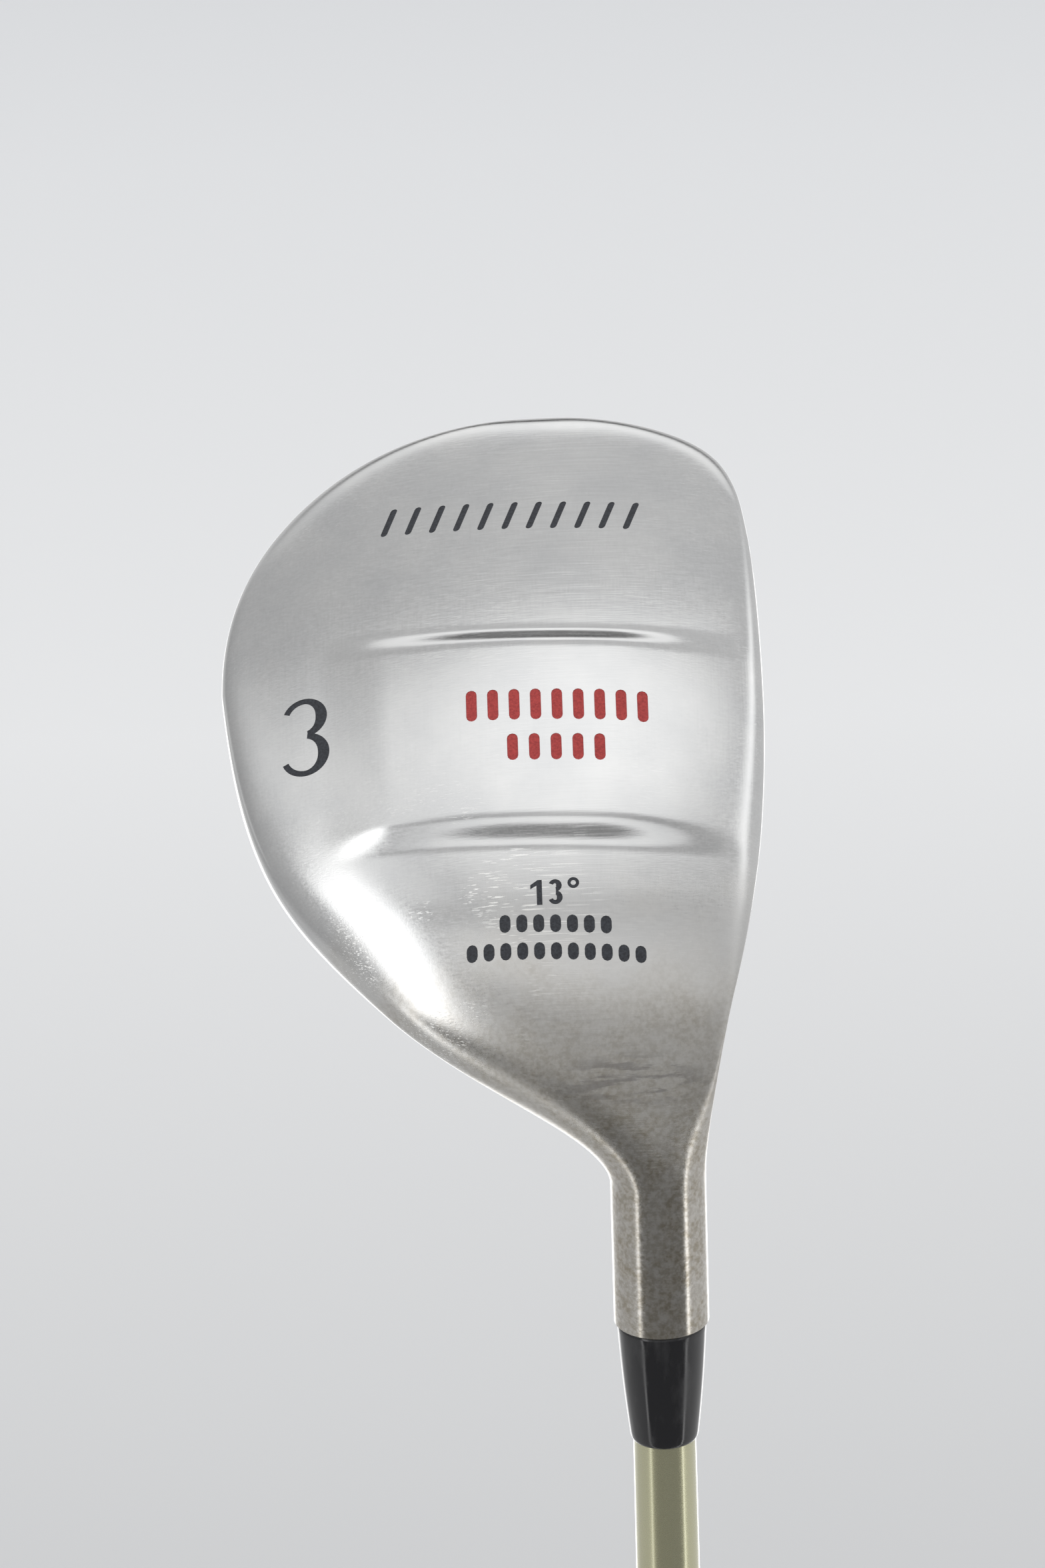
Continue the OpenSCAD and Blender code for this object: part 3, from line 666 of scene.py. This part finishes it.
def steel_material():
    """Satin stainless steel: fine brushing, scratches with a painted glint, and brown tarnish towards the
    hosel.
    """
    material, n, shader = new_material("satin_steel", Metallic=1.0)
    p = head_coords(n)
    x, t, _ = n.split(p)

    cloud = n.noise(p, 0.09, 4, 0.55)
    ragged = n.math("MULTIPLY", n.math("SUBTRACT", cloud, 0.5), 34.0)
    heel = n.remap(n.math("ADD", t, ragged), 8, -22, kind="SMOOTHSTEP")
    patches = n.remap(n.noise(p, 0.35, 5, 0.65), 0.42, 0.62)
    tarnish = n.math("MULTIPLY", heel, n.math("ADD", n.math("MULTIPLY", patches, 0.3), 0.7))

    brush = n.noise(n.scaled(p, 0.045, 3.6, 3.6), 1, 3, 0.6)
    fine = n.noise(n.scaled(p, 0.2, 9.0, 9.0), 1, 2, 0.5)
    cross = n.noise(n.scaled(p, 4.0, 0.05, 4.0), 1, 3, 0.6)
    grain = n.math("ADD", n.math("MULTIPLY", brush, 0.45), n.math("MULTIPLY", fine, 0.3))
    grain = n.math("ADD", grain, n.math("MULTIPLY", cross, 0.25))
    mottle = n.noise(p, 1.3, 4, 0.6)

    marks = None
    for turn, reach, gap, level in SCRATCHES:
        lines = n.noise(n.scaled(p, 1 / reach, gap, gap, turn=math.radians(turn)), 1, 1, 0.4)
        area = n.noise(p, 0.07, 1)
        sharp = n.math("MULTIPLY", n.remap(lines, level, level + 0.02), n.remap(area, 0.5, 0.56))
        marks = n.math("MAXIMUM", marks, sharp) if marks else sharp
    spot = n.vector("DISTANCE", n.scaled(p, 1, 1, 0), SCRATCHED_SPOT, out=1)
    scratch_wear_and_glint = n.math("MULTIPLY", marks, n.remap(spot, 9, 20, 1.0, 0.1))

    smear = n.remap(n.noise(n.scaled(p, 0.12, 0.9, 0.9), 1, 5, 0.65), 0.47, 0.56)
    far = n.vector("LENGTH", n.scaled(n.vector("SUBTRACT", p, SMEAR_SPOT), 1 / 12, 1 / 3.2, 0), out=1)
    smear = n.math("MULTIPLY", smear, n.remap(far, 1.0, 0.5))

    clean = n.mix(n.remap(cloud, 0.35, 0.65), (0.63, 0.632, 0.63), (0.575, 0.58, 0.583))
    brown = n.mix(n.remap(mottle, 0.4, 0.6), (0.46, 0.435, 0.39), (0.32, 0.29, 0.235))
    color = n.mix(tarnish, clean, brown)
    color = n.mix(n.math("MULTIPLY", smear, 0.6), color, (0.16, 0.15, 0.15))
    # The scratches are real wear, but their near-white colour is a painted glint standing in for the light
    # they catch.
    color = n.mix(n.math("MULTIPLY", scratch_wear_and_glint, 0.9), color, (1.0, 1.0, 0.98))
    shade = n.remap(grain, 0.3, 0.7, 0.93, 1.06)
    color = n.add("ShaderNodeVectorMath", {0: color, 3: shade}, operation="SCALE")

    rough = n.math("ADD", n.remap(grain, 0.3, 0.7, 0.1, 0.24), n.math("MULTIPLY", tarnish, 0.02))
    rough = n.math("ADD", rough, n.math("MULTIPLY", scratch_wear_and_glint, 0.35))
    satin = n.math("MULTIPLY", n.remap(t, 16, 2, kind="SMOOTHSTEP"), n.remap(t, -28, -12, kind="SMOOTHSTEP"))
    satin = n.math("MULTIPLY", satin, n.remap(x, -32, -16, kind="SMOOTHSTEP"))
    rough = n.math("ADD", rough, n.math("MULTIPLY", satin, 0.17), clamp=True)
    color = n.mix(n.math("MULTIPLY", satin, 0.25), color, (0.5, 0.485, 0.46))
    height = n.math("SUBTRACT", n.math("MULTIPLY", grain, 0.5), n.math("MULTIPLY", scratch_wear_and_glint, 0.3))
    height = n.math("ADD", height, n.math("MULTIPLY", n.math("MULTIPLY", mottle, tarnish), 0.8))
    link(n, shader, Base_Color=color, Roughness=rough, Normal=n.bump(height, 0.03 * MM, 0.6))
    return material


def paint_material(name, light, dark):
    """Matt enamel lying in the engraving, a little chalky and uneven."""
    material, n, shader = new_material(name, Metallic=0.0, Specular_IOR_Level=0.4)
    p = head_coords(n)
    speck = n.noise(p, 3.0, 4, 0.7)
    color = n.mix(n.remap(speck, 0.35, 0.65), dark, light)
    link(n, shader, Base_Color=color, Roughness=n.remap(speck, 0.3, 0.7, 0.4, 0.65),
         Normal=n.bump(speck, 0.05 * MM, 0.6))
    return material


def ferrule_material():
    """Polished black plastic with faint turning lines and handling marks."""
    material, n, shader = new_material("polished_ferrule", Base_Color=(0.012, 0.012, 0.014), IOR=1.5)
    p = club_coords(n)
    turned = n.noise(n.scaled(p, 0.3, 0.3, 5.0), 1, 2)
    rub = n.noise(n.scaled(p, 1.0, 1.0, 0.3), 0.5, 4, 0.6)
    rough = n.math("ADD", n.remap(rub, 0.4, 0.7, 0.07, 0.22), n.math("MULTIPLY", turned, 0.03))
    color = n.mix(n.remap(rub, 0.5, 0.75), (0.011, 0.011, 0.013), (0.03, 0.03, 0.032))
    link(n, shader, Base_Color=color, Roughness=rough, Normal=n.bump(turned, 0.01 * MM, 0.4))
    return material


def shaft_material():
    """Champagne metallic paint under clear coat, with the fine flakes of the pigment."""
    material, n, shader = new_material("champagne_paint", Metallic=0.85, Coat_Weight=0.8, Coat_Roughness=0.04)
    p = club_coords(n)
    flakes = n.noise(p, 9.0, 3, 0.7)
    drift = n.noise(n.scaled(p, 0.2, 0.2, 0.02), 1, 3)
    color = n.mix(n.remap(flakes, 0.35, 0.65), (0.47, 0.46, 0.305), (0.52, 0.51, 0.35))
    color = n.mix(n.remap(drift, 0.3, 0.7, 0.0, 0.35), color, (0.49, 0.47, 0.29))
    link(n, shader, Base_Color=color, Roughness=n.remap(flakes, 0.3, 0.7, 0.2, 0.32),
         Normal=n.bump(flakes, 0.002 * MM, 0.3))
    return material


def rubber_material():
    """Black moulded rubber with a fine grain, in long patches a little lighter and rougher."""
    material, n, shader = new_material("grip_rubber", Specular_IOR_Level=0.35)
    p = club_coords(n)
    grain = n.noise(p, 4.0, 5, 0.7)
    wear = n.noise(n.scaled(p, 0.12, 0.12, 0.02), 1, 3)
    color = n.mix(n.remap(wear, 0.4, 0.65), (0.018, 0.018, 0.018), (0.032, 0.031, 0.03))
    link(n, shader, Base_Color=color, Roughness=n.remap(wear, 0.35, 0.65, 0.62, 0.8),
         Normal=n.bump(grain, 0.08 * MM, 0.6))
    return material


def grainy_material(name, light, dark, scale, rough, metallic=0.0, depth=0.03):
    """Plain material for the pieces inside, with the grain of what they are made of."""
    material, n, shader = new_material(name, Metallic=metallic)
    grain = n.noise(club_coords(n), scale, 4, 0.6)
    color = n.mix(n.remap(grain, 0.35, 0.65), dark, light)
    link(n, shader, Base_Color=color, Roughness=n.remap(grain, 0.3, 0.7, rough - 0.06, rough + 0.06),
         Normal=n.bump(grain, depth * MM, 0.6))
    return material


# ------------------------------------------------------------------ assembly

steel = steel_material()
charcoal = paint_material("charcoal_enamel", (0.045, 0.05, 0.06), (0.012, 0.013, 0.018))
red = paint_material("red_enamel", (0.5, 0.06, 0.055), (0.3, 0.022, 0.022))
rubber = rubber_material()

finish_piece(make_cast_body(), steel, "head_steel", "head_body")
finish_piece(make_sole_plate(), steel, "plate_steel", "sole_plate")
for name, (outline, slot, node) in MARKS.items():
    paint = sole_layer(name, 120, 60, PAINT_GAP, MARK_DEPTH, PLATE_REACH * MARKS_SHARE)
    finish_piece(combine(paint, outline(), "INTERSECT"), red if slot == "red_paint" else charcoal, slot, node)
finish_piece(make_ferrule(), ferrule_material(), "ferrule_black", "ferrule", angle=50)
finish_piece(make_shaft(), shaft_material(), "shaft_paint", "shaft")
finish_piece(make_grip(), rubber, "grip_rubber", "grip_sleeve", angle=60)
finish_piece(make_grip_cap(), rubber, "grip_rubber", "grip_cap", angle=40)

# CAD nodes that stay, inside the head, the hosel and the grip
INSIDE = {
    "foam_core": grainy_material("core_foam", (0.82, 0.74, 0.5), (0.66, 0.56, 0.34), 1.2, 0.85, depth=0.3),
    "hosel_epoxy": grainy_material("cured_epoxy", (0.7, 0.58, 0.32), (0.55, 0.42, 0.2), 0.8, 0.3),
    "tip_weight": grainy_material("turned_brass", (0.75, 0.55, 0.25), (0.6, 0.42, 0.17), 2.5, 0.3, 1.0),
    "grip_tape": grainy_material("paper_tape", (0.8, 0.77, 0.68), (0.68, 0.64, 0.53), 2.0, 0.8, depth=0.1),
}
for name, material in INSIDE.items():
    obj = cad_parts[name]
    obj.data.materials.clear()
    obj.data.materials.append(material)

# ------------------------------------------------------------------ camera, floor and light

CAM_PLACE = Vector((-0.0169, -1.0758, HOSEL_Z + 0.5523))
CAM_ELEVATION, CAM_ROLL = math.radians(23.63), math.radians(-1.84)


def make_camera():
    """Camera in front of the sole and above the head, with a long lens."""
    data = bpy.data.cameras.new("camera")
    data.lens, data.sensor_width = 200, 36
    cam = bpy.data.objects.new("camera", data)
    bpy.context.scene.collection.objects.link(cam)
    back = Vector((0, -math.cos(CAM_ELEVATION), math.sin(CAM_ELEVATION)))
    turn = (-back).to_track_quat("-Z", "Y").to_matrix().to_4x4()
    cam.matrix_world = Matrix.Translation(CAM_PLACE) @ turn @ Matrix.Rotation(CAM_ROLL, 4, "Z")
    data.clip_start, data.clip_end = 0.05, 100
    bpy.context.scene.camera = cam


FLOOR_HALF, FLOOR_PAINTED_FALLOFF = 40, (1.6, 4.0)


def floor_material():
    """Pale paper with painted light falloff: darker towards the camera and into the distance."""
    material, n, shader = new_material("pale_paper_painted_falloff", Roughness=0.9)
    _, y, _ = n.split(n.add("ShaderNodeTexCoord", out="Object"))
    depth = n.remap(y, *FLOOR_PAINTED_FALLOFF)
    # Painted light and shade on the floor: brightest a few metres beyond the club, painted shade nearer the
    # camera and far away.
    stops = [(0.0, (0.62, 0.627, 0.638)), (0.14, (0.72, 0.728, 0.739)), (0.42, (0.88, 0.888, 0.90)),
             (0.75, (0.82, 0.832, 0.85)), (1.0, (0.73, 0.745, 0.768))]
    link(n, shader, Base_Color=n.ramp(depth, stops))
    return material


def make_floor():
    corners = [(-1, -1), (1, -1), (1, 1), (-1, 1)]
    floor = new_object("floor", [(FLOOR_HALF * x, FLOOR_HALF * y, 0) for x, y in corners], [(0, 1, 2, 3)])
    floor.data.materials.append(floor_material())
    floor.visible_glossy = False


# Brightness of the light tent on lengthwise strips, each at its own share x towards the face side.
# A strip runs from the camera's side (0 degrees) over the top (90) to the back (180).
TENT = [
    (-0.95, [(0, 0.5), (60, 0.55), (110, 0.5), (150, 0.5), (180, 0.8)]),
    (-0.80, [(0, 0.6), (50, 0.6), (86, 0.68), (110, 0.55), (150, 0.5), (180, 0.8)]),
    (-0.74, [(0, 2.6), (50, 2.6), (62, 0.8), (88, 0.82), (110, 0.58), (150, 0.5), (180, 0.8)]),
    (-0.63, [(0, 2.6), (56, 2.6), (70, 1.0), (88, 1.02), (110, 0.62), (150, 0.55), (180, 0.8)]),
    (-0.54, [(0, 0.65), (58, 0.65), (66, 1.3), (76, 1.05), (92, 0.88), (102, 0.6), (125, 0.6), (180, 0.8)]),
    (-0.32, [(0, 0.4), (9, 0.8), (14, 0.4), (21, 0.33), (26, 1.2), (44, 1.15), (51, 0.62), (68, 0.7),
             (75, 1.2), (86, 1.3), (93, 1.15), (99, 0.62), (126, 0.68), (131, 1.05), (142, 1.05),
             (146, 0.3), (153, 0.3), (158, 0.7), (180, 0.8)]),
    (0.0, [(0, 0.4), (9, 0.8), (14, 0.3), (21, 0.28), (26, 1.3), (44, 1.25), (51, 0.7), (68, 0.8), (76, 1.45),
           (86, 1.5), (94, 1.5), (99, 0.8), (126, 0.76), (131, 1.45), (142, 1.45), (146, 0.1), (153, 0.1),
           (158, 0.7), (180, 0.8)]),
    (0.40, [(0, 0.4), (9, 0.75), (14, 0.4), (21, 0.33), (26, 1.1), (43, 0.95), (50, 0.5), (66, 0.55),
            (75, 1.35), (94, 1.4), (100, 0.72), (126, 0.72), (131, 1.2), (142, 1.2), (146, 0.3), (153, 0.3),
            (158, 0.7), (180, 0.8)]),
    (0.60, [(0, 0.45), (66, 0.6), (78, 0.75), (96, 0.75), (108, 0.7), (180, 0.8)]),
    (0.69, [(0, 1.0), (40, 1.2), (60, 1.4), (80, 1.8), (110, 1.8), (122, 1.2), (134, 0.8), (180, 0.8)]),
    (0.78, [(0, 0.75), (180, 0.8)]),
]

# Brightness all round below the tent's foot, by compass direction: 0 degrees is the camera's side and
# 90 the face's
GROUND = [(-180, 2.4), (-153, 2.4), (-148, 0.85), (-130, 0.85), (-122, 0.68), (-59, 0.68), (-57, 2.4),
          (-53, 2.4), (-51, 0.27), (64, 0.27), (66, 3.4), (69, 3.4), (71, 0.82), (122, 0.82), (130, 0.85),
          (148, 0.85), (153, 2.4), (180, 2.4)]
TENT_FOOT = (-0.36, -0.16)


def make_world():
    """Studio light: the tent above and the paper's surroundings below, as one background."""
    bpy.context.scene.view_settings.view_transform = "Standard"
    world = bpy.data.worlds.new("world")
    bpy.context.scene.world = world
    world.use_nodes = True
    tree = world.node_tree
    n = Nodes(tree)
    x, y, z = n.split(n.add("ShaderNodeTexCoord"))
    toward = n.math("MULTIPLY", y, -1.0)
    meridian = n.math("DIVIDE", n.math("ARCTAN2", n.math("ABSOLUTE", z), toward), math.pi)
    sky = before = None
    for place, stops in TENT:
        strip = n.ramp(meridian, [(d / 180, v) for d, v in stops])
        sky = n.mix(n.remap(x, before, place), sky, strip) if sky else strip
        before = place
    compass = n.math("ADD", n.math("DIVIDE", n.math("ARCTAN2", x, toward), 2 * math.pi), 0.5)
    ground = n.ramp(compass, [(d / 360 + 0.5, v) for d, v in GROUND])
    both = n.mix(n.remap(z, *TENT_FOOT), ground, sky)
    tree.links.new(both, tree.nodes["Background"].inputs[0])


make_camera()
make_floor()
make_world()
